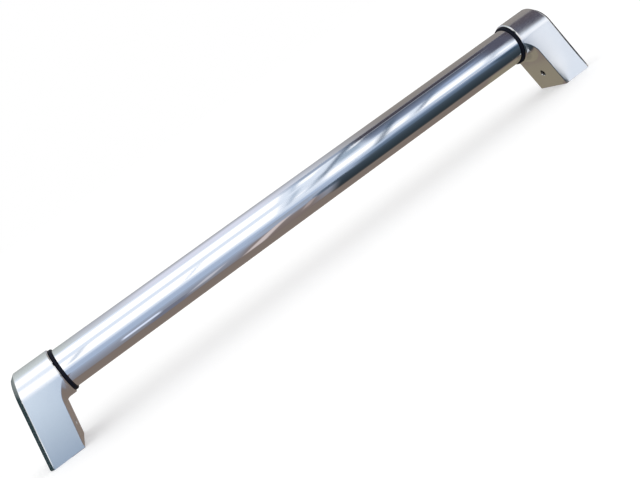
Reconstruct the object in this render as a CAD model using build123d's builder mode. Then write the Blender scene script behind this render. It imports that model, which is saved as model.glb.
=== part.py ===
from build123d import *

import os
from math import radians, sqrt, tan

# Appliance door handle: a round tube held between two cast end posts.
#
# Frame: X runs along the tube, Z points away from the door, and the origin is the
# middle of the mounting plane, halfway between the two feet. Sizes are millimetres.

# Tube
tube_diameter = 31.75
tube_wall = 1.5
tube_length = 437.0
tube_edge_break = 0.3
axis_height = 51.5

# Seal rings between the ends of the tube and the posts
ring_thickness = 2.6
ring_overhang = 1.525
ring_edge_chamfer = 0.8

# End posts
post_overhang = 2.625
leg_thickness = 28.5
splay_angle = 12.5
boss_length = 6.2
boss_edge_chamfer = 0.8
blend_radius = 6.0
outer_bevel = 3.2
bevel_zone = 4.8
bevel_edge_break = 0.35
inner_edge_radius = 0.6
heel_radius = 1.2
boss_fullness = 0.1

# Spigots that carry the tube
spigot_length = 24.0
spigot_clearance = 0.15
spigot_lead_in = 1.0

# Mounting: a blind bore in each foot takes a stud on the door
stud_bore_diameter = 10.0
stud_bore_depth = 24.0
stud_bore_lead_in = 0.6

# Set screws that lock the posts onto the studs
set_screw_diameter = 5.0
set_screw_length = 8.0
set_screw_height = 15.5
set_screw_recess = 1.2
set_screw_clearance = 0.1
set_screw_edge_break = 0.5
set_screw_mouth_chamfer = 0.4
socket_across_flats = 2.5
socket_depth = 2.5

# Worked out from the sizes above
ring_radius = tube_diameter / 2 + ring_overhang
cap_radius = tube_diameter / 2 + post_overhang
post_width = 2 * cap_radius
half_tube = tube_length / 2
ring_face_x = half_tube + ring_thickness
inner_face_x = ring_face_x + boss_length
splay_slope = tan(radians(splay_angle))
slab_top = axis_height + post_width
boss_radius = cap_radius + boss_fullness
tube_bore_radius = tube_diameter / 2 - tube_wall
spigot_radius = tube_bore_radius - spigot_clearance
screw_hole_radius = set_screw_diameter / 2 + set_screw_clearance
socket_across_corners = socket_across_flats * 2 / sqrt(3)


def inner_x(height):
    """X of the slanted inner face of a leg, at a height above the door."""
    return inner_face_x + splay_slope * (axis_height - height)


def outer_x(height):
    """X of the slanted outer face of a leg, at a height above the door."""
    return inner_x(height) + leg_thickness


def runs_along_bevel(edge):
    """True for the long edges of the bevel round the outer end of a post."""
    middle = edge.center()
    at_outer_end = middle.X > outer_x(middle.Z) - bevel_zone
    return at_outer_end and middle.Z > heel_radius and edge.length > leg_thickness


foot_centre_x = (inner_x(0) + outer_x(0)) / 2
screw_head_x = inner_x(set_screw_height) + set_screw_recess
tube_axis = Axis((0, 0, axis_height), (1, 0, 0))

# Handle tube
with BuildPart() as handle_tube:
    with BuildSketch(Plane.YZ):
        with Locations((0, axis_height)):
            Circle(tube_diameter / 2)
            Circle(tube_bore_radius, mode=Mode.SUBTRACT)
    extrude(amount=half_tube, both=True)
    tube_rims = handle_tube.edges().filter_by(GeomType.CIRCLE)
    chamfer(tube_rims, length=tube_edge_break)

# Seal ring, right: a rubber washer with a bevelled rim, threaded on the spigot
with BuildPart() as seal_ring_right:
    with BuildSketch(Plane.YZ.offset(half_tube)):
        with Locations((0, axis_height)):
            Circle(ring_radius)
            Circle(spigot_radius, mode=Mode.SUBTRACT)
    extrude(amount=ring_thickness)
    outer_rims = seal_ring_right.edges().filter_by(GeomType.CIRCLE).sort_by(SortBy.RADIUS)[-2:]
    chamfer(outer_rims, length=ring_edge_chamfer)

# End post, right
with BuildPart() as end_post_right:
    # Leg between its slanted faces, wider than the post until it is trimmed
    with BuildSketch(Plane.XZ):
        with BuildLine():
            Polyline(
                (inner_x(0), 0),
                (inner_x(slab_top), slab_top),
                (outer_x(slab_top), slab_top),
                (outer_x(0), 0),
                close=True,
            )
        make_face()
    extrude(amount=post_width, both=True)

    # Boss towards the tube, longer than the post needs until it is trimmed
    boss_start_x = inner_face_x + leg_thickness / 2
    boss_end_x = ring_face_x - cap_radius - blend_radius
    with BuildSketch(Plane.YZ.offset(boss_start_x)):
        with Locations((0, axis_height)):
            Circle(boss_radius)
    extrude(amount=boss_end_x - boss_start_x)
    boss_corner = end_post_right.edges().filter_by(GeomType.ELLIPSE)
    fillet(boss_corner, radius=blend_radius)

    # Trim to the round-topped outline, just inside the boss's own round
    with BuildSketch(Plane.YZ.offset(ring_face_x)):
        with BuildLine():
            Line((-cap_radius, axis_height), (-cap_radius, 0))
            Line((-cap_radius, 0), (cap_radius, 0))
            Line((cap_radius, 0), (cap_radius, axis_height))
            RadiusArc((-cap_radius, axis_height), (cap_radius, axis_height), cap_radius)
        make_face()
    extrude(amount=outer_x(0) - ring_face_x, mode=Mode.INTERSECT)

    # Bevel round the outer end, from the foot over the top and down again
    outer_face = end_post_right.faces().sort_by(Axis.X)[-1]
    end_outline = outer_face.edges().sort_by(Axis.Z)[1:]
    chamfer(end_outline, length=outer_bevel)
    heel_edge = end_post_right.faces().sort_by(Axis.X)[-1].edges().sort_by(Axis.Z)[0]
    fillet(heel_edge, radius=heel_radius)
    chamfer(end_post_right.edges().filter_by(runs_along_bevel), length=bevel_edge_break)

    # Round the long inner corners of the leg, up into the rim of the blend
    inner_face = end_post_right.faces().filter_by(GeomType.PLANE).sort_by(Axis.X)[1]
    long_edges = inner_face.edges().sort_by(Axis.Y)
    fillet([long_edges[0], long_edges[-1]], radius=inner_edge_radius)

    # Chamfer round the boss's end, cut by a ring with a three-cornered section
    boss_top = axis_height + cap_radius
    with BuildSketch(Plane.XZ):
        with BuildLine():
            Polyline(
                (ring_face_x - boss_edge_chamfer, boss_top - 2 * boss_edge_chamfer),
                (ring_face_x + 2 * boss_edge_chamfer, boss_top + boss_edge_chamfer),
                (ring_face_x - boss_edge_chamfer, boss_top + boss_edge_chamfer),
                close=True,
            )
        make_face()
    revolve(axis=tube_axis, mode=Mode.SUBTRACT)

    # Spigot into the tube
    with BuildSketch(Plane.YZ.offset(ring_face_x)):
        with Locations((0, axis_height)):
            Circle(spigot_radius)
    extrude(amount=-(ring_thickness + spigot_length))
    spigot_end = end_post_right.faces().sort_by(Axis.X)[0]
    chamfer(spigot_end.edges(), length=spigot_lead_in)

    # Blind stud bore in the foot
    with Locations(Plane(origin=(foot_centre_x, 0, 0), z_dir=(0, 0, -1))):
        Hole(stud_bore_diameter / 2, depth=stud_bore_depth)
    foot = end_post_right.faces().sort_by(Axis.Z)[0]
    bore_mouth = foot.edges().filter_by(GeomType.CIRCLE)
    chamfer(bore_mouth, length=stud_bore_lead_in)

    # Set-screw hole from the inner face into the stud bore
    hole_start = (inner_x(set_screw_height), 0, set_screw_height)
    with Locations(Plane(origin=hole_start, z_dir=(-1, 0, 0))):
        Hole(screw_hole_radius, depth=foot_centre_x - inner_x(set_screw_height))
    hole_mouth = end_post_right.edges().filter_by(GeomType.ELLIPSE).sort_by_distance(hole_start)[0]
    chamfer(hole_mouth, length=set_screw_mouth_chamfer)

# Set screw, right: a headless screw with a hexagon socket, axis along the tube
with BuildPart() as set_screw_right:
    with BuildSketch(Plane.YZ.offset(screw_head_x)):
        with Locations((0, set_screw_height)):
            Circle(set_screw_diameter / 2)
    extrude(amount=set_screw_length)
    screw_rims = set_screw_right.edges().filter_by(GeomType.CIRCLE)
    chamfer(screw_rims, length=set_screw_edge_break)
    with BuildSketch(Plane.YZ.offset(screw_head_x)):
        with Locations((0, set_screw_height)):
            RegularPolygon(socket_across_corners / 2, side_count=6)
    extrude(amount=socket_depth, mode=Mode.SUBTRACT)

# Left-hand pieces: the right-hand ones mirrored in the middle of the handle
with BuildPart() as seal_ring_left:
    mirror(seal_ring_right.part, about=Plane.YZ)

with BuildPart() as end_post_left:
    mirror(end_post_right.part, about=Plane.YZ)

with BuildPart() as set_screw_left:
    mirror(set_screw_right.part, about=Plane.YZ)

handle_tube.part.label = "handle_tube"
seal_ring_right.part.label = "seal_ring_right"
seal_ring_left.part.label = "seal_ring_left"
end_post_right.part.label = "end_post_right"
end_post_left.part.label = "end_post_left"
set_screw_right.part.label = "set_screw_right"
set_screw_left.part.label = "set_screw_left"

os.makedirs("parts", exist_ok=True)
export_step(handle_tube.part, "parts/handle_tube.step")
export_step(seal_ring_right.part, "parts/seal_ring_right.step")
export_step(seal_ring_left.part, "parts/seal_ring_left.step")
export_step(end_post_right.part, "parts/end_post_right.step")
export_step(end_post_left.part, "parts/end_post_left.step")
export_step(set_screw_right.part, "parts/set_screw_right.step")
export_step(set_screw_left.part, "parts/set_screw_left.step")
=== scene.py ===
"""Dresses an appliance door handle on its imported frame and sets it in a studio.

The handle is a polished round tube between two plated end posts, with a black seal
ring at each end of the tube and a set screw in each post. Everything is in metres, in
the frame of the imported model: X runs along the tube, Z points up from the mounting
plane, and the feet stand on Z = 0.
"""

from __future__ import annotations

import logging
import math
from dataclasses import dataclass
from enum import Enum

import bmesh
import bpy
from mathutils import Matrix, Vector


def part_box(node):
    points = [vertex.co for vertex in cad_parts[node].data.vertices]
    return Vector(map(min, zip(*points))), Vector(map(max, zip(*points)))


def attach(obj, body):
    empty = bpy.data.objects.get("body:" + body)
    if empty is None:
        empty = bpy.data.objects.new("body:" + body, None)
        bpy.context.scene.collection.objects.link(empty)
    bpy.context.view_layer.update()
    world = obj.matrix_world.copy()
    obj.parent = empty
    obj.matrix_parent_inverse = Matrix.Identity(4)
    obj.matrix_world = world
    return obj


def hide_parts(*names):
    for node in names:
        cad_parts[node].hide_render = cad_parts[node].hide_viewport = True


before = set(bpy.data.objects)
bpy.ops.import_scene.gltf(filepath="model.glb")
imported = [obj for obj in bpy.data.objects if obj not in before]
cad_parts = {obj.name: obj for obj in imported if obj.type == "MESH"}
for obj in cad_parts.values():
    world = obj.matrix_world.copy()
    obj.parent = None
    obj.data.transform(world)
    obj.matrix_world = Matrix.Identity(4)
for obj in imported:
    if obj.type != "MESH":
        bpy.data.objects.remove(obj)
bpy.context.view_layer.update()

LOG = logging.getLogger("handle")
BODY = "root"

# Lengths are in metres.
MM = 0.001
SAME_PLACE = 0.001 * MM
HALF_UNIT = 0.5

# The curve between the colours of a screen and linear light.
SCREEN_WHITE = 255
SCREEN_SHIFT = 0.055
SCREEN_POWER = 2.4

WHITE = (1.0, 1.0, 1.0)
THIN_RIM = (0.02, 0.02, 0.02, 0.02)

Colour = tuple[float, float, float]
Waves = tuple[float, float, float]
Pair = tuple[float, float]


class Side(Enum):
    """An end of the handle, by the word that its nodes' names end with."""

    LEFT = "left"
    RIGHT = "right"


def paint(red: int, green: int, blue: int) -> Colour:
    """Turns a colour as a screen shows it into the linear colour that a shader takes.

    Args:
        red: The red part, from 0 to 255.
        green: The green part, from 0 to 255.
        blue: The blue part, from 0 to 255.

    Returns:
        The linear colour.
    """
    shares = (part / SCREEN_WHITE for part in (red, green, blue))
    scale = 1 + SCREEN_SHIFT
    return tuple(((share + SCREEN_SHIFT) / scale) ** SCREEN_POWER for share in shares)


def seen_rays(tree: bpy.types.NodeTree) -> bpy.types.NodeSocket:
    """Tells camera, glossy and transmission rays from the others.

    Args:
        tree: The node tree of a material or of the world.

    Returns:
        The socket with the result, 1 for those three kinds and 0 for the others.
    """
    path = tree.nodes.new("ShaderNodeLightPath")
    seen = path.outputs["Is Camera Ray"]
    for kind in ("Is Glossy Ray", "Is Transmission Ray"):
        either = tree.nodes.new("ShaderNodeMath")
        either.operation = "MAXIMUM"
        tree.links.new(seen, either.inputs[0])
        tree.links.new(path.outputs[kind], either.inputs[1])
        seen = either.outputs[0]
    return seen


class Shader:
    """One material's node tree, with short calls to add and join nodes."""

    def __init__(self, name: str) -> None:
        """Starts an empty node tree with an output.

        Args:
            name: The material's name.
        """
        self.material = bpy.data.materials.new(name)
        self.material.use_nodes = True
        self.tree = self.material.node_tree
        self.tree.nodes.clear()
        self.output = self.tree.nodes.new("ShaderNodeOutputMaterial")

    def add(self, kind: str, **values: object) -> bpy.types.Node:
        """Adds a node and sets its properties or its inputs.

        Args:
            kind: The node type, without the ShaderNode in front.
            values: Properties, or input values by the input's name with _ for a space.

        Returns:
            The new node.
        """
        node = self.tree.nodes.new("ShaderNode" + kind)
        for key, value in values.items():
            if hasattr(node, key):
                setattr(node, key, value)
            else:
                node.inputs[key.replace("_", " ")].default_value = value
        return node

    def join(self, source: bpy.types.NodeSocket, target: bpy.types.NodeSocket) -> None:
        """Links one socket to another."""
        self.tree.links.new(source, target)

    def tint(
        self, value: bpy.types.NodeSocket, first: Colour, second: Colour
    ) -> bpy.types.NodeSocket:
        """Mixes two colours by a value.

        Args:
            value: The socket with the value, 0 for the first colour, 1 for the second.
            first: The first colour.
            second: The second colour.

        Returns:
            The socket with the colour.
        """
        mix = self.add("Mix", data_type="RGBA")
        mix.inputs["A"].default_value = (*first, 1.0)
        mix.inputs["B"].default_value = (*second, 1.0)
        self.join(value, mix.inputs["Factor"])
        return mix.outputs["Result"]

    def relief(
        self, height: bpy.types.NodeSocket, strength: float, depth: float
    ) -> bpy.types.NodeSocket:
        """Turns a height into a fine bump.

        Args:
            height: The socket with the height, from 0 to 1.
            strength: How much of the bump shows.
            depth: The depth of the bump, in metres.

        Returns:
            The socket with the normal.
        """
        bump = self.add("Bump", Strength=strength, Distance=depth)
        self.join(height, bump.inputs["Height"])
        return bump.outputs["Normal"]

    def surface(self, shader: bpy.types.Node) -> bpy.types.Material:
        """Puts a shader node on the surface and gives the material back."""
        self.join(shader.outputs[0], self.output.inputs["Surface"])
        return self.material

    def object_noise(
        self, scale: Waves, detail: float, roughness: float = 0.5
    ) -> bpy.types.Node:
        """Adds noise on Object coordinates, stretched by a scale per axis.

        Args:
            scale: Waves per metre along each axis.
            detail: Octaves of the noise.
            roughness: How strong the finer octaves are.

        Returns:
            The noise node.
        """
        place = self.add("TexCoord")
        mapping = self.add("Mapping")
        mapping.inputs["Scale"].default_value = scale
        noise = self.add("TexNoise", Scale=1.0, Detail=detail, Roughness=roughness)
        self.join(place.outputs["Object"], mapping.inputs["Vector"])
        self.join(mapping.outputs["Vector"], noise.inputs["Vector"])
        return noise

    def ramp(
        self, value: bpy.types.NodeSocket, low: float, high: float
    ) -> bpy.types.NodeSocket:
        """Maps a value of 0 to 1 onto a range.

        Args:
            value: The socket with the value.
            low: What 0 becomes.
            high: What 1 becomes.

        Returns:
            The socket with the result.
        """
        spread = self.add("MapRange")
        spread.inputs["To Min"].default_value = low
        spread.inputs["To Max"].default_value = high
        self.join(value, spread.inputs["Value"])
        return spread.outputs["Result"]


@dataclass(frozen=True)
class HazedMetalFinish:
    """A mirroring metal with a soft haze on it and a fine relief.

    Attributes:
        name: The material's name.
        colour: The clear metal's colour.
        hazed_colour: The colour under the full haze.
        roughness_low: The clear metal's roughness.
        roughness_high: The roughness under the full haze.
        relief_waves: Waves of the relief per metre along each axis.
        relief_octaves: Octaves of the relief.
        relief_strength: How much of the relief shows.
        relief_depth: The depth of the relief, in metres.
        haze_waves: Waves of the haze per metre along each axis.
        haze_octaves: Octaves of the haze.
        haze_roughness: How strong the haze's finer octaves are.
    """

    name: str
    colour: Colour
    hazed_colour: Colour
    roughness_low: float
    roughness_high: float
    relief_waves: Waves
    relief_octaves: float
    relief_strength: float
    relief_depth: float
    haze_waves: Waves
    haze_octaves: float = 4.0
    haze_roughness: float = 0.6

    def material(self) -> bpy.types.Material:
        """Builds the material.

        Returns:
            The material.
        """
        sheet = Shader(self.name)
        grain = sheet.object_noise(self.relief_waves, self.relief_octaves)
        clouds = sheet.object_noise(
            self.haze_waves, self.haze_octaves, self.haze_roughness
        )
        haze = clouds.outputs["Fac"]
        metal = sheet.add("BsdfPrincipled", Metallic=1.0)
        colour = sheet.tint(haze, self.colour, self.hazed_colour)
        roughness = sheet.ramp(haze, self.roughness_low, self.roughness_high)
        bump = sheet.relief(
            grain.outputs["Fac"], self.relief_strength, self.relief_depth
        )
        sheet.join(colour, metal.inputs["Base Color"])
        sheet.join(roughness, metal.inputs["Roughness"])
        sheet.join(bump, metal.inputs["Normal"])
        return sheet.surface(metal)


@dataclass(frozen=True)
class PolishedTubeFinish(HazedMetalFinish):
    """Polished stainless tube with a faint grain along it."""

    name: str = "polished_tube"
    colour: Colour = (0.80, 0.80, 0.82)
    hazed_colour: Colour = (0.74, 0.74, 0.76)
    roughness_low: float = 0.045
    roughness_high: float = 0.085
    relief_waves: Waves = (9.0, 1800.0, 1800.0)
    relief_octaves: float = 3.0
    relief_strength: float = 0.25
    relief_depth: float = 0.000004
    haze_waves: Waves = (14.0, 60.0, 60.0)


@dataclass(frozen=True)
class SatinPlatingFinish(HazedMetalFinish):
    """Softly mirrored plating on a cast post, with a fine satin haze."""

    name: str = "satin_plating"
    colour: Colour = (0.80, 0.80, 0.81)
    hazed_colour: Colour = (0.75, 0.75, 0.77)
    roughness_low: float = 0.16
    roughness_high: float = 0.24
    relief_waves: Waves = (900.0, 900.0, 900.0)
    relief_octaves: float = 2.0
    relief_strength: float = 0.2
    relief_depth: float = 0.00001
    haze_waves: Waves = (45.0, 45.0, 45.0)


@dataclass(frozen=True)
class RubberFinish:
    """Smooth near-black rubber with a slight bloom."""

    colour: Colour = (0.003, 0.004, 0.010)
    bloom_colour: Colour = (0.007, 0.009, 0.018)
    roughness: float = 0.45
    gloss: float = 0.08
    bloom_waves: Waves = (300.0, 300.0, 300.0)
    bloom_octaves: float = 3.0
    skin_strength: float = 0.15
    skin_depth: float = 0.00002

    def material(self) -> bpy.types.Material:
        """Builds the material.

        Returns:
            The material.
        """
        sheet = Shader("black_rubber")
        bloom = sheet.object_noise(self.bloom_waves, self.bloom_octaves)
        rubber = sheet.add(
            "BsdfPrincipled", Roughness=self.roughness, Specular_IOR_Level=self.gloss
        )
        colour = sheet.tint(bloom.outputs["Fac"], self.colour, self.bloom_colour)
        sheet.join(colour, rubber.inputs["Base Color"])
        bump = sheet.relief(bloom.outputs["Fac"], self.skin_strength, self.skin_depth)
        sheet.join(bump, rubber.inputs["Normal"])
        return sheet.surface(rubber)


@dataclass(frozen=True)
class OiledSteelFinish:
    """Dark oiled steel of the set screws."""

    colour: Colour = (0.11, 0.105, 0.10)
    rubbed_colour: Colour = (0.17, 0.165, 0.16)
    roughness: float = 0.42
    rub_waves: Waves = (700.0, 700.0, 700.0)
    rub_octaves: float = 3.0

    def material(self) -> bpy.types.Material:
        """Builds the material.

        Returns:
            The material.
        """
        sheet = Shader("oiled_steel")
        rub = sheet.object_noise(self.rub_waves, self.rub_octaves)
        steel = sheet.add("BsdfPrincipled", Metallic=1.0, Roughness=self.roughness)
        colour = sheet.tint(rub.outputs["Fac"], self.colour, self.rubbed_colour)
        sheet.join(colour, steel.inputs["Base Color"])
        return sheet.surface(steel)


def new_piece(
    name: str, mesh: bmesh.types.BMesh, material: bpy.types.Material
) -> bpy.types.Object:
    """Turns a bmesh into an object at the origin.

    Args:
        name: The object's name.
        mesh: The bmesh, which is freed.
        material: Its one material.

    Returns:
        The new object, linked to the scene.
    """
    data = bpy.data.meshes.new(name)
    mesh.to_mesh(data)
    mesh.free()
    data.materials.append(material)
    piece = bpy.data.objects.new(name, data)
    bpy.context.scene.collection.objects.link(piece)
    return piece


def turned_section(
    corners: list[Pair], axis_height: float, steps: int
) -> bmesh.types.BMesh:
    """Turns a closed section about the tube's axis.

    Args:
        corners: The section's corners, as X and radius.
        axis_height: Z of the axis, which runs along X through Y = 0.
        steps: Faces round the full turn.

    Returns:
        The closed shape, with its faces pointing outwards.
    """
    mesh = bmesh.new()
    points = [mesh.verts.new((x, 0.0, axis_height + radius)) for x, radius in corners]
    edges = [mesh.edges.new(ends) for ends in zip(points, points[1:] + points[:1])]
    bmesh.ops.spin(
        mesh,
        geom=points + edges,
        cent=(0.0, 0.0, axis_height),
        axis=(1.0, 0.0, 0.0),
        angle=math.tau,
        steps=steps,
        use_merge=True,
    )
    bmesh.ops.remove_doubles(mesh, verts=mesh.verts, dist=SAME_PLACE)
    bmesh.ops.recalc_face_normals(mesh, faces=mesh.faces)
    return mesh


def shade_smooth(piece: bpy.types.Object, crease_degrees: float) -> None:
    """Shades a piece smooth between its creases.

    Args:
        piece: The object.
        crease_degrees: The angle from which an edge stays sharp.
    """
    piece.data.shade_smooth()
    piece.data.set_sharp_from_angle(angle=math.radians(crease_degrees))


@dataclass
class HandleTube:
    """The round tube."""

    wall: float = 1.5 * MM
    rim_break: float = 0.3 * MM
    steps: int = 160
    crease_degrees: float = 30.0

    def build(self, material: bpy.types.Material) -> bpy.types.Object:
        """Makes the tube on its frame node.

        Args:
            material: The polished steel.

        Returns:
            The tube.
        """
        low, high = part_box("handle_tube")
        outer = (high.z - low.z) / 2
        axis_height = (high.z + low.z) / 2
        inner = outer - self.wall
        rim = self.rim_break
        corners = [
            (low.x, inner + rim),
            (low.x, outer - rim),
            (low.x + rim, outer),
            (high.x - rim, outer),
            (high.x, outer - rim),
            (high.x, inner + rim),
            (high.x - rim, inner),
            (low.x + rim, inner),
        ]
        mesh = turned_section(corners, axis_height, self.steps)
        piece = new_piece("tube_polished", mesh, material)
        shade_smooth(piece, self.crease_degrees)
        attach(piece, BODY)
        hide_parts("handle_tube")
        return piece


@dataclass
class SealRing:
    """A rubber ring between the tube and a post."""

    side: Side
    inner_radius: float = 14.225 * MM
    rim_round: float = 1.1 * MM
    rim_segments: int = 6
    rim_profile: float = 0.5
    rim_slack: float = 0.01 * MM
    steps: int = 128
    crease_degrees: float = 40.0

    def build(self, material: bpy.types.Material) -> bpy.types.Object:
        """Makes the ring on its frame node.

        Args:
            material: The rubber.

        Returns:
            The ring.
        """
        node = "seal_ring_" + self.side.value
        low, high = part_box(node)
        outer = (high.z - low.z) / 2
        axis_height = (high.z + low.z) / 2
        corners = [
            (low.x, self.inner_radius),
            (low.x, outer),
            (high.x, outer),
            (high.x, self.inner_radius),
        ]
        mesh = turned_section(corners, axis_height, self.steps)
        centre = Vector((0.0, 0.0, axis_height))
        rims = [e for e in mesh.edges if self.is_rim(e, centre, outer)]
        bmesh.ops.bevel(
            mesh,
            geom=rims,
            offset=self.rim_round,
            offset_type="OFFSET",
            affect="EDGES",
            segments=self.rim_segments,
            profile=self.rim_profile,
            material=-1,
        )
        piece = new_piece("ring_" + self.side.value, mesh, material)
        shade_smooth(piece, self.crease_degrees)
        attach(piece, BODY)
        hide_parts(node)
        return piece

    def is_rim(self, edge: bmesh.types.BMEdge, centre: Vector, outer: float) -> bool:
        """Tells whether an edge runs round the ring at its outer radius.

        Args:
            edge: The edge.
            centre: A point of the ring's axis.
            outer: The ring's outer radius.

        Returns:
            True for an edge of the outer rim.
        """
        first, second = (vertex.co for vertex in edge.verts)
        runs_round = abs(first.x - second.x) < SAME_PLACE
        radii = [math.hypot(point.y, point.z - centre.z) for point in (first, second)]
        return runs_round and min(radii) > outer - self.rim_slack


@dataclass
class EndPost:
    """A plated end post, taken from its frame node and smoothed."""

    side: Side
    merge_distance: float = 0.0005 * MM
    flat_degrees: float = 0.05
    crease_degrees: float = 18.0

    def build(self, material: bpy.types.Material) -> bpy.types.Object:
        """Makes the post's visible shell from a merged copy of the node.

        Each flat face becomes one polygon, so that its shading stays flat to its rim.

        Args:
            material: The plating.

        Returns:
            The post.
        """
        node = "end_post_" + self.side.value
        mesh = bmesh.new()
        mesh.from_mesh(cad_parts[node].data)
        bmesh.ops.remove_doubles(mesh, verts=mesh.verts, dist=self.merge_distance)
        bmesh.ops.dissolve_limit(
            mesh,
            angle_limit=math.radians(self.flat_degrees),
            verts=[],
            edges=mesh.edges,
        )
        piece = new_piece("post_" + self.side.value, mesh, material)
        shade_smooth(piece, self.crease_degrees)
        weigh = piece.modifiers.new("even_faces", "WEIGHTED_NORMAL")
        weigh.keep_sharp = True
        weigh.mode = "FACE_AREA"
        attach(piece, BODY)
        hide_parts(node)
        return piece


@dataclass
class SetScrew:
    """A set screw, which keeps its frame node."""

    side: Side

    def dress(self, material: bpy.types.Material) -> bpy.types.Object:
        """Gives the node its finish.

        Args:
            material: The oiled steel.

        Returns:
            The frame node.
        """
        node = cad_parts["set_screw_" + self.side.value]
        for material_slot in node.material_slots:
            material_slot.material = material
        return node


@dataclass
class StudioCard:
    """A sheet held in the studio for the metal to mirror.

    It lights nothing, and the camera doesn't see it. A card is a grid whose two
    directions are u and v, each from 0 to 1.

    Attributes:
        name: The card's name.
        first: The colour at v = 0.
        last: The colour at v = 1, or None where the first one goes on.
        fade: The shares of the card that fade out at u = 0, u = 1, v = 0 and v = 1.
        first_edge: Where the edge at v = 0 starts and ends along u, in metres.
        last_edge: Where the edge at v = 1 starts and ends along u, in metres.
        reach: Where the card starts and ends along v, in the unit of its kind.
        place: The one measure that its points share, in metres.
        level: The strength of its glow.
        rows: Faces along v.
        hard_rim: The least share that fades out at a rim.
    """

    name: str
    first: Colour
    last: Colour | None
    fade: tuple[float, float, float, float]
    first_edge: Pair
    last_edge: Pair
    reach: Pair
    place: float
    level: float = 1.25
    rows: int = 24
    hard_rim: float = 0.0005

    def along(self, u: float, v: float) -> float:
        """Gives how far a point is along the direction of u.

        Args:
            u: The point's place along u.
            v: The point's place along v.

        Returns:
            The distance, in metres.
        """
        start = self.first_edge[0] + v * (self.last_edge[0] - self.first_edge[0])
        end = self.first_edge[1] + v * (self.last_edge[1] - self.first_edge[1])
        return start + u * (end - start)

    def across(self, v: float) -> float:
        """Gives how far a point is along the direction of v, in the reach's unit."""
        return self.reach[0] + v * (self.reach[1] - self.reach[0])

    def point(self, u: float, v: float) -> Vector:
        """Gives the place of a point of the card, in metres."""
        raise NotImplementedError

    def build(self) -> bpy.types.Object:
        """Makes the card.

        Returns:
            The card.
        """
        mesh = bmesh.new()
        mesh.loops.layers.uv.new("card")
        bmesh.ops.create_grid(
            mesh, x_segments=1, y_segments=self.rows, size=HALF_UNIT, calc_uvs=True
        )
        for vertex in mesh.verts:
            vertex.co = self.point(vertex.co.x + HALF_UNIT, vertex.co.y + HALF_UNIT)
        card = new_piece("card_" + self.name, mesh, self.material())
        card.visible_camera = False
        card.visible_diffuse = False
        card.visible_shadow = False
        card.visible_transmission = False
        card.visible_volume_scatter = False
        return card

    def material(self) -> bpy.types.Material:
        """Builds a tone that runs from the first colour to the last and fades out.

        Returns:
            The material.
        """
        sheet = Shader("card_" + self.name)
        place = sheet.add("TexCoord")
        split = sheet.add("SeparateXYZ")
        sheet.join(place.outputs["UV"], split.inputs["Vector"])
        tone = sheet.add("Emission", Strength=self.level)
        blend = sheet.tint(split.outputs["Y"], self.first, self.last or self.first)
        sheet.join(blend, tone.inputs["Color"])
        left, right, start, end = (max(share, self.hard_rim) for share in self.fade)
        rims = [
            self.rim(sheet, split.outputs["X"], 0.0, left),
            self.rim(sheet, split.outputs["X"], 1.0, 1.0 - right),
            self.rim(sheet, split.outputs["Y"], 0.0, start),
            self.rim(sheet, split.outputs["Y"], 1.0, 1.0 - end),
        ]
        cover = rims[0]
        for rim in rims[1:]:
            product = sheet.add("Math", operation="MULTIPLY")
            sheet.join(cover, product.inputs[0])
            sheet.join(rim, product.inputs[1])
            cover = product.outputs[0]
        clear = sheet.add("BsdfTransparent")
        shown = sheet.add("MixShader")
        sheet.join(cover, shown.inputs[0])
        sheet.join(clear.outputs[0], shown.inputs[1])
        sheet.join(tone.outputs[0], shown.inputs[2])
        return sheet.surface(shown)

    @staticmethod
    def rim(
        sheet: Shader, position: bpy.types.NodeSocket, clear_at: float, full_at: float
    ) -> bpy.types.NodeSocket:
        """Rises from 0 at a rim to 1 further in.

        Args:
            sheet: The node tree.
            position: The position along u or v, from 0 to 1.
            clear_at: Where the card is clear.
            full_at: Where it is full.

        Returns:
            The socket with the result.
        """
        step = sheet.add("MapRange", interpolation_type="SMOOTHSTEP")
        step.inputs["From Min"].default_value = clear_at
        step.inputs["From Max"].default_value = full_at
        sheet.join(position, step.inputs["Value"])
        return step.outputs["Result"]


@dataclass
class RoundCard(StudioCard):
    """A card bent round the tube's axis, with u along X.

    Its reach is the angle in degrees, 0 in front and 90 overhead, and its place is its
    radius.
    """

    axis_height: float = 0.0515

    def point(self, u: float, v: float) -> Vector:
        """Gives the place of a point of the card.

        Args:
            u: The point's place along u.
            v: The point's place along v.

        Returns:
            The place, in metres.
        """
        angle = math.radians(self.across(v))
        height = self.axis_height + self.place * math.sin(angle)
        return Vector((self.along(u, v), -self.place * math.cos(angle), height))


@dataclass
class FloorCard(StudioCard):
    """A card that lies on the floor, with u along X.

    Its reach is in Y, and its place is its height.
    """

    def point(self, u: float, v: float) -> Vector:
        """Gives the place of a point of the card, in metres."""
        return Vector((self.along(u, v), self.across(v), self.place))


@dataclass
class StandingFlag(StudioCard):
    """A card that stands beyond one end of the handle, with u along Y.

    Its reach is in Z, and its place is in X.
    """

    def point(self, u: float, v: float) -> Vector:
        """Gives the place of a point of the card, in metres."""
        return Vector((self.place, self.along(u, v), self.across(v)))


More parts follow.
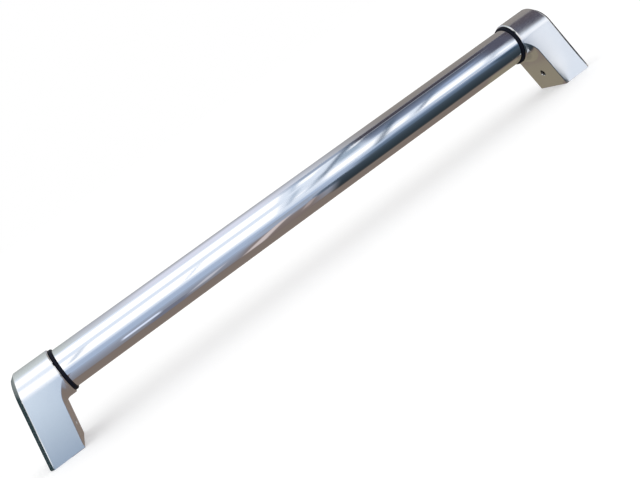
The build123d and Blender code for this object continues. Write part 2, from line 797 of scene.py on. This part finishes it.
class Studio:
    """The ring of cards that the polished metal mirrors."""

    @staticmethod
    def bright_panes() -> list[StudioCard]:
        """Lists the bright panes on the round wall.

        Returns:
            The cards, in the order they are set up.
        """
        return [
            RoundCard(
                "scrim",
                paint(224, 234, 246), None, THIN_RIM,
                (-1.115, 1.84), (-1.115, 1.84), (-2.2, 110.8), 1.6),
            RoundCard(
                "low_left",
                paint(174, 190, 215), paint(226, 236, 246), (0, 0.12, 0, 0.4),
                (-0.408, 0.587), (-0.408, 0.587), (-20.2, 15.8), 1.595),
            RoundCard(
                "low_right",
                paint(134, 152, 178), paint(206, 219, 235), (0.25, 0.0, 0, 0.4),
                (0.503, 1.126), (0.503, 1.126), (-20.2, 15.8), 1.594),
            RoundCard(
                "bright_upper",
                paint(255, 255, 255), None, (0, 0.01, 0.2, 0.2),
                (-1.115, 0.303), (-1.115, 0.331), (55.8, 97.0), 1.59, 1.5),
            RoundCard(
                "bright_lower",
                paint(255, 255, 255), None, (0, 0.01, 0.35, 0.15),
                (-1.115, 0.282), (-1.115, 0.31), (1.8, 44.8), 1.59, 1.5),
            RoundCard(
                "bright_upper_two",
                paint(250, 253, 255), None, (0.08, 0.12, 0.2, 0.3),
                (0.341, 0.433), (0.373, 0.478), (65.8, 89.8), 1.589, 1.4),
            RoundCard(
                "bright_upper_three",
                paint(246, 250, 255), None, (0.25, 0.25, 0.3, 0.3),
                (0.514, 0.552), (0.535, 0.584), (65.8, 81.8), 1.47, 1.3),
            RoundCard(
                "bright_lower_two",
                paint(246, 250, 255), None, (0.15, 0.15, 0.3, 0.3),
                (0.31, 0.348), (0.345, 0.387), (17.8, 33.8), 1.5, 1.35),
            RoundCard(
                "bright_lower_three",
                paint(255, 255, 255), None, (0.1, 0.05, 0.4, 0.3),
                (0.415, 0.595), (0.443, 0.63), (1.8, 35.8), 1.5, 1.5),
            RoundCard(
                "bright_lower_four",
                paint(255, 255, 255), None, (0.15, 0.15, 0.35, 0.4),
                (0.644, 0.718), (0.679, 0.753), (6.8, 33.8), 1.5, 1.45),
            RoundCard(
                "bright_lower_five",
                paint(255, 255, 255), None, (0.05, 0.1, 0.35, 0.4),
                (0.76, 1.017), (0.82, 1.045), (5.8, 35.8), 1.5, 1.5),
            RoundCard(
                "bright_lower_six",
                paint(250, 252, 255), None, (0.1, 0, 0.4, 0.4),
                (1.048, 1.133), (1.066, 1.133), (3.8, 20.8), 1.5, 1.4),
            RoundCard(
                "bright_lower_end",
                paint(252, 253, 255), None, (0, 0, 0.1, 0.35),
                (1.14, 1.84), (1.14, 1.84), (-30.2, 21.8), 1.5, 1.3),
        ]

    @staticmethod
    def wall_tones() -> list[StudioCard]:
        """Lists the quiet and the dark stretches of the round wall.

        Returns:
            The cards, in the order they are set up.
        """
        return [
            RoundCard(
                "left_back",
                paint(206, 212, 221), paint(146, 146, 151), (0, 0, 0.06, 0.02),
                (-1.115, 1.84), (-1.115, 1.84), (101.8, 184.8), 1.58),
            RoundCard(
                "pale_end_back",
                paint(205, 214, 213), paint(150, 153, 151), (0, 0.12, 0.06, 0.02),
                (-1.115, -0.313), (-1.115, -0.313), (99.8, 184.8), 1.579),
            RoundCard(
                "lilac_rim",
                paint(220, 224, 238), None, (0.3, 0.4, 0.1, 0.6),
                (-0.288, 0.503), (-0.288, 0.398), (97.8, 153.8), 1.578),
            RoundCard(
                "right_back",
                paint(139, 134, 130), paint(144, 139, 134), (0.26, 0, 0.06, 0.02),
                (0.362, 1.84), (0.376, 1.84), (101.8, 184.8), 1.57),
            RoundCard(
                "dusk_rim",
                paint(150, 162, 181), None, (0.35, 0.1, 0.4, 0.3),
                (0.278, 0.609), (0.278, 0.609), (83.8, 109.8), 1.565),
            RoundCard(
                "dusk_gap",
                paint(158, 176, 194), None, (0.4, 0.1, 0.3, 0.3),
                (0.468, 0.595), (0.496, 0.595), (33.8, 89.8), 1.564),
            RoundCard(
                "slate",
                paint(142, 157, 182), paint(70, 76, 90), (0.05, 0, 0.3, 0.1),
                (0.595, 1.84), (0.538, 1.84), (32.8, 81.8), 1.56),
            RoundCard(
                "plum_band",
                paint(60, 62, 74), paint(78, 72, 79), (0.06, 0, 0.3, 0.25),
                (0.531, 1.84), (0.503, 1.84), (74.8, 108.8), 1.55),
            RoundCard(
                "plum_end",
                paint(48, 41, 54), paint(86, 77, 81), (0.03, 0, 0.2, 0.1),
                (1.14, 2.191), (1.14, 2.191), (14.8, 107.8), 1.54),
            RoundCard(
                "glint_arc",
                paint(152, 169, 196), None, (0.3, 0.3, 0.3, 0.5),
                (0.82, 0.995), (0.876, 1.059), (39.8, 61.8), 1.53),
            RoundCard(
                "dusk_end",
                paint(84, 85, 99), None, (0.5, 0, 0.3, 0.1),
                (1.017, 1.14), (1.017, 1.14), (21.8, 105.8), 1.525),
        ]

    @staticmethod
    def streaks() -> list[StudioCard]:
        """Lists the slanting dark streaks between the bright panes.

        Returns:
            The cards, in the order they are set up.
        """
        return [
            RoundCard(
                "streak_one",
                paint(176, 192, 210), None, (0.4, 0.4, 0.2, 0.3),
                (-0.408, -0.366), (-0.355, -0.306), (11.8, 47.8), 1.49),
            RoundCard(
                "streak_two",
                paint(192, 208, 228), None, (0.4, 0.4, 0.3, 0.3),
                (-0.063, -0.035), (0.021, 0.053), (5.8, 47.8), 1.49),
            RoundCard(
                "streak_three",
                paint(160, 177, 196), None, (0.4, 0.4, 0.3, 0.3),
                (0.274, 0.313), (0.331, 0.373), (7.8, 61.8), 1.49),
            RoundCard(
                "streak_rise",
                paint(176, 192, 212), None, (0.4, 0.4, 0.3, 0.2),
                (0.313, 0.352), (0.334, 0.373), (57.8, 101.8), 1.49),
            RoundCard(
                "streak_mid",
                paint(166, 182, 200), None, (0.4, 0.4, 0.3, 0.3),
                (0.348, 0.38), (0.415, 0.454), (11.8, 51.8), 1.485),
            RoundCard(
                "streak_four",
                paint(92, 108, 127), None, (0.4, 0.4, 0.3, 0.1),
                (0.366, 0.412), (0.517, 0.573), (13.8, 101.8), 1.48),
            RoundCard(
                "streak_five",
                paint(76, 93, 111), None, (0.35, 0.35, 0.25, 0.3),
                (0.573, 0.619), (0.672, 0.718), (-10.2, 73.8), 1.48),
            RoundCard(
                "streak_six",
                paint(104, 121, 142), None, (0.35, 0.35, 0.3, 0.4),
                (0.721, 0.763), (0.834, 0.883), (5.8, 69.8), 1.48),
            RoundCard(
                "streak_seven",
                paint(150, 164, 184), None, (0.4, 0.4, 0.3, 0.3),
                (1.017, 1.045), (1.048, 1.076), (5.8, 37.8), 1.48),
        ]

    @staticmethod
    def floor_tones() -> list[StudioCard]:
        """Lists the patches of floor under and before the tube.

        Returns:
            The cards, in the order they are set up.
        """
        return [
            FloorCard(
                "under_handle",
                paint(126, 118, 114), None, (0.02, 0.02, 0.05, 0),
                (-0.25, 0.3), (-0.235, 0.237), (-0.118, -0.012), 8e-05),
            FloorCard(
                "floor_back",
                paint(150, 148, 148), None, THIN_RIM,
                (-2.6, 3.4), (-2.6, 3.4), (0.64, 1.9), 0.0001),
            FloorCard(
                "floor_left",
                paint(192, 207, 228), paint(164, 180, 203), THIN_RIM,
                (-0.5, 0.9), (-0.262, 0.12), (-1.6, -0.06), 0.0001),
            FloorCard(
                "floor_right",
                paint(178, 194, 217), paint(124, 141, 166), (0.15, 0, 0.1, 0.02),
                (0.43, 1.19), (0.115, 0.33), (-0.95, -0.2), 0.00015),
            FloorCard(
                "floor_right_near",
                paint(120, 139, 163), paint(84, 101, 120), (0.2, 0, 0.3, 0.02),
                (0.115, 0.412), (0.045, 0.284), (-0.302, -0.09), 0.00016),
            FloorCard(
                "right_gloom",
                paint(60, 78, 94), None, (0.5, 0, 0.3, 0.1),
                (0.34, 0.405), (0.24, 0.275), (-0.32, -0.09), 0.00018),
            FloorCard(
                "blue_near",
                paint(160, 173, 194), paint(126, 126, 132), (0, 0.1, 0.15, 0),
                (-0.229, 0.12), (-0.226, 0.08), (-0.11, -0.026), 0.0002),
            FloorCard(
                "left_boss_shade",
                paint(120, 108, 104), None, (0, 0, 0.2, 0),
                (-0.238, -0.229), (-0.236, -0.226), (-0.12, -0.02), 0.0002),
            FloorCard(
                "grey_spill",
                paint(150, 159, 173), None, (0.4, 0.4, 0.5, 0.3),
                (-0.04, 0.11), (-0.06, 0.044), (-0.25, -0.08), 0.00022),
            FloorCard(
                "teal_shoulder",
                paint(86, 98, 113), None, (0.35, 0.25, 0.5, 0.3),
                (0.03, 0.084), (0.006, 0.058), (-0.132, -0.058), 0.00028),
            FloorCard(
                "teal_mat",
                paint(74, 88, 102), paint(38, 46, 49), (0.07, 0, 0.4, 0.1),
                (0.05, 0.31), (0.02, 0.247), (-0.132, -0.014), 0.0003),
            FloorCard(
                "umber_spill",
                paint(134, 125, 123), paint(122, 110, 105), (0.25, 0.2, 0.5, 0),
                (-0.062, 0.046), (-0.076, 0.022), (-0.084, -0.024), 0.00025),
            FloorCard(
                "tan_glint",
                paint(204, 193, 190), None, (0.3, 0.3, 0.25, 0.1),
                (-0.014, 0.01), (-0.07, -0.038), (-0.092, -0.024), 0.00035),
            FloorCard(
                "tan_glint_two",
                paint(164, 152, 149), None, (0.3, 0.3, 0.3, 0.3),
                (0.016, 0.03), (-0.004, 0.008), (-0.084, -0.036), 0.00035),
            FloorCard(
                "pale_glint",
                paint(186, 188, 197), None, (0.3, 0.3, 0.3, 0.3),
                (-0.094, -0.062), (-0.124, -0.092), (-0.072, -0.038), 0.00035),
            FloorCard(
                "ink_patch",
                paint(112, 116, 131), None, (0.25, 0.25, 0.3, 0),
                (-0.15, -0.108), (-0.16, -0.112), (-0.054, -0.026), 0.00025),
            FloorCard(
                "bright_patch",
                paint(216, 226, 245), None, (0.15, 0.15, 0.35, 0.35),
                (-0.18, -0.138), (-0.18, -0.138), (-0.07, -0.045), 0.00035, 1.35),
            FloorCard(
                "brown_mat",
                paint(124, 113, 105), paint(130, 118, 110), (0, 0, 0.001, 0),
                (-0.25, 0.243), (-0.25, 0.243), (-0.0225, 0.62), 0.00022),
            FloorCard(
                "brown_mat_left",
                paint(122, 111, 105), None, (0, 0.05, 0.1, 0),
                (-0.232, 0.04), (-0.23, 0.024), (-0.029, -0.02), 0.00024),
            FloorCard(
                "brown_mat_right",
                paint(120, 109, 101), None, (0, 0, 0.001, 0),
                (0.238, 0.276), (0.238, 0.276), (-0.016, 0.62), 0.00023),
            FloorCard(
                "olive_mat",
                paint(136, 129, 112), None, (0.12, 0, 0.02, 0.1),
                (0.2, 0.276), (0.2, 0.276), (-0.0145, 0.2), 0.0005),
        ]

    @staticmethod
    def end_tones() -> list[StudioCard]:
        """Lists the cards that the end posts mirror.

        Returns:
            The cards, in the order they are set up.
        """
        return [
            FloorCard(
                "left_post_mat",
                paint(226, 237, 247), paint(210, 224, 238), (0, 0, 0, 0),
                (-0.9, -0.482), (-0.33, -0.262), (-1.6, -0.3), 0.00045),
            FloorCard(
                "left_post_near",
                paint(214, 229, 242), paint(150, 167, 187), (0, 0, 0, 0),
                (-0.4, -0.262), (-0.33, -0.236), (-0.302, -0.018), 0.00046),
            FloorCard(
                "left_line",
                paint(244, 250, 254), None, (0.1, 0.03, 0.1, 0.02),
                (-1.6, -1.12), (-0.42, -0.272), (-0.7, -0.03), 0.00047),
            FloorCard(
                "right_post_mat",
                paint(229, 235, 243), paint(220, 228, 238), (0, 0, 0, 0),
                (1.203, 1.8), (0.2412, 0.48), (-1.6, -0.018), 0.00045),
            FloorCard(
                "right_post_glow",
                paint(255, 255, 255), None, (0, 0.7, 0.1, 0.2),
                (0.503, 0.532), (0.2412, 0.2485), (-0.45, -0.018), 0.00046, 1.75),
            FloorCard(
                "right_line",
                paint(22, 20, 26), None, (0.05, 0.05, 0.1, 0),
                (0.7, 1.56), (0.3, 0.76), (-0.3, -0.012), 0.00048),
            FloorCard(
                "left_dark_mat",
                paint(40, 57, 60), None, (0.02, 0, 0.04, 0.04),
                (-1.3, -0.264), (-1.3, -0.264), (-0.03, 0.26), 0.0005),
            FloorCard(
                "right_dark_mat",
                paint(22, 20, 26), None, (0, 0.05, 0.02, 0.05),
                (0.276, 0.76), (0.276, 0.76), (-0.014, 0.42), 0.0005),
            StandingFlag(
                "left_flag",
                paint(40, 57, 60), None, (0.1, 0.1, 0, 0.3),
                (-0.15, 0.45), (-0.15, 0.45), (-0.05, 0.19), -0.62),
            StandingFlag(
                "left_veil",
                paint(66, 80, 84), paint(140, 146, 144), (0.1, 0.05, 0.05, 0.05),
                (-0.25, 1.2), (-0.25, 1.2), (0.1, 0.36), -0.64),
            StandingFlag(
                "left_veil_high",
                paint(142, 148, 146), paint(192, 196, 193), (0.1, 0.05, 0.05, 0.3),
                (-0.25, 1.2), (-0.25, 1.2), (0.33, 1.0), -0.65),
            StandingFlag(
                "right_flag",
                paint(22, 20, 26), None, (0.1, 0.1, 0, 0.1),
                (0.03, 0.5), (0.03, 0.5), (-0.03, 0.14), 0.46),
        ]

    def cards(self) -> list[StudioCard]:
        """Lists every card.

        Returns:
            All cards, the wall first and the end posts' cards last.
        """
        return [
            *self.bright_panes(),
            *self.wall_tones(),
            *self.streaks(),
            *self.floor_tones(),
            *self.end_tones(),
        ]


@dataclass
class Floor:
    """The pale floor, which shows white to the camera but keeps the shadow."""

    half_size: float = 6.0
    colour: Colour = (0.92, 0.92, 0.92)
    lift: float = 0.20

    def build(self) -> bpy.types.Object:
        """Makes the floor.

        Returns:
            The floor.
        """
        mesh = bmesh.new()
        bmesh.ops.create_grid(mesh, x_segments=1, y_segments=1, size=self.half_size)
        sheet = Shader("pale_floor")
        matt = sheet.add("BsdfDiffuse")
        matt.inputs["Color"].default_value = (*self.colour, 1.0)
        amount = sheet.add("Math", operation="MULTIPLY")
        amount.inputs[1].default_value = self.lift
        sheet.join(seen_rays(sheet.tree), amount.inputs[0])
        lift = sheet.add("Emission")
        lift.inputs["Color"].default_value = (*WHITE, 1.0)
        sheet.join(amount.outputs[0], lift.inputs["Strength"])
        both = sheet.add("AddShader")
        sheet.join(matt.outputs[0], both.inputs[0])
        sheet.join(lift.outputs[0], both.inputs[1])
        floor = new_piece("floor", mesh, sheet.surface(both))
        return floor


@dataclass
class PaleRoom:
    """The white room that the world stands for."""

    colour: Colour = WHITE
    strength: float = 0.95
    seen_strength: float = 1.0

    def build(self) -> None:
        """Sets the world.

        It is plain white to the camera and the metal, and an even light on the rest.
        """
        world = bpy.data.worlds.new("pale_room")
        bpy.context.scene.world = world
        world.use_nodes = True
        tree = world.node_tree
        tree.nodes.clear()
        out = tree.nodes.new("ShaderNodeOutputWorld")
        light = tree.nodes.new("ShaderNodeBackground")
        light.inputs["Color"].default_value = (*self.colour, 1.0)
        light.inputs["Strength"].default_value = self.strength
        seen = tree.nodes.new("ShaderNodeBackground")
        seen.inputs["Color"].default_value = (*self.colour, 1.0)
        seen.inputs["Strength"].default_value = self.seen_strength
        mix = tree.nodes.new("ShaderNodeMixShader")
        tree.links.new(seen_rays(tree), mix.inputs[0])
        tree.links.new(light.outputs[0], mix.inputs[1])
        tree.links.new(seen.outputs[0], mix.inputs[2])
        tree.links.new(mix.outputs[0], out.inputs["Surface"])


@dataclass
class PhotographersCamera:
    """The camera, low in front of the handle and rolled over to one side."""

    place: tuple[float, float, float] = (-0.14393, -0.58708, 0.15715)
    turn: tuple[float, float, float] = (74.2103, 32.6537, -21.6429)
    lens: float = 44.101
    sensor_width: float = 36.0
    near_clip: float = 0.01

    def build(self) -> bpy.types.Object:
        """Makes the camera and gives it to the scene.

        Returns:
            The camera.
        """
        data = bpy.data.cameras.new("camera")
        data.lens = self.lens
        data.sensor_fit = "HORIZONTAL"
        data.sensor_width = self.sensor_width
        data.clip_start = self.near_clip
        camera = bpy.data.objects.new("camera", data)
        camera.location = self.place
        camera.rotation_euler = [math.radians(angle) for angle in self.turn]
        bpy.context.scene.collection.objects.link(camera)
        bpy.context.scene.camera = camera
        return camera


def report(piece: bpy.types.Object) -> None:
    """Logs a piece's name and face count."""
    LOG.info("%s: %d faces", piece.name, len(piece.data.polygons))


def main() -> None:
    """Builds the handle's pieces in order, then the studio round them."""
    logging.basicConfig(level=logging.INFO, format="%(name)s %(message)s")
    bpy.context.scene.view_settings.view_transform = "Standard"
    report(HandleTube().build(PolishedTubeFinish().material()))
    plating = SatinPlatingFinish().material()
    rubber = RubberFinish().material()
    steel = OiledSteelFinish().material()
    for side in Side:
        report(EndPost(side).build(plating))
        report(SealRing(side).build(rubber))
        report(SetScrew(side).dress(steel))
    Floor().build()
    for card in Studio().cards():
        card.build()
    PaleRoom().build()
    PhotographersCamera().build()


if __name__ == "__main__":
    main()
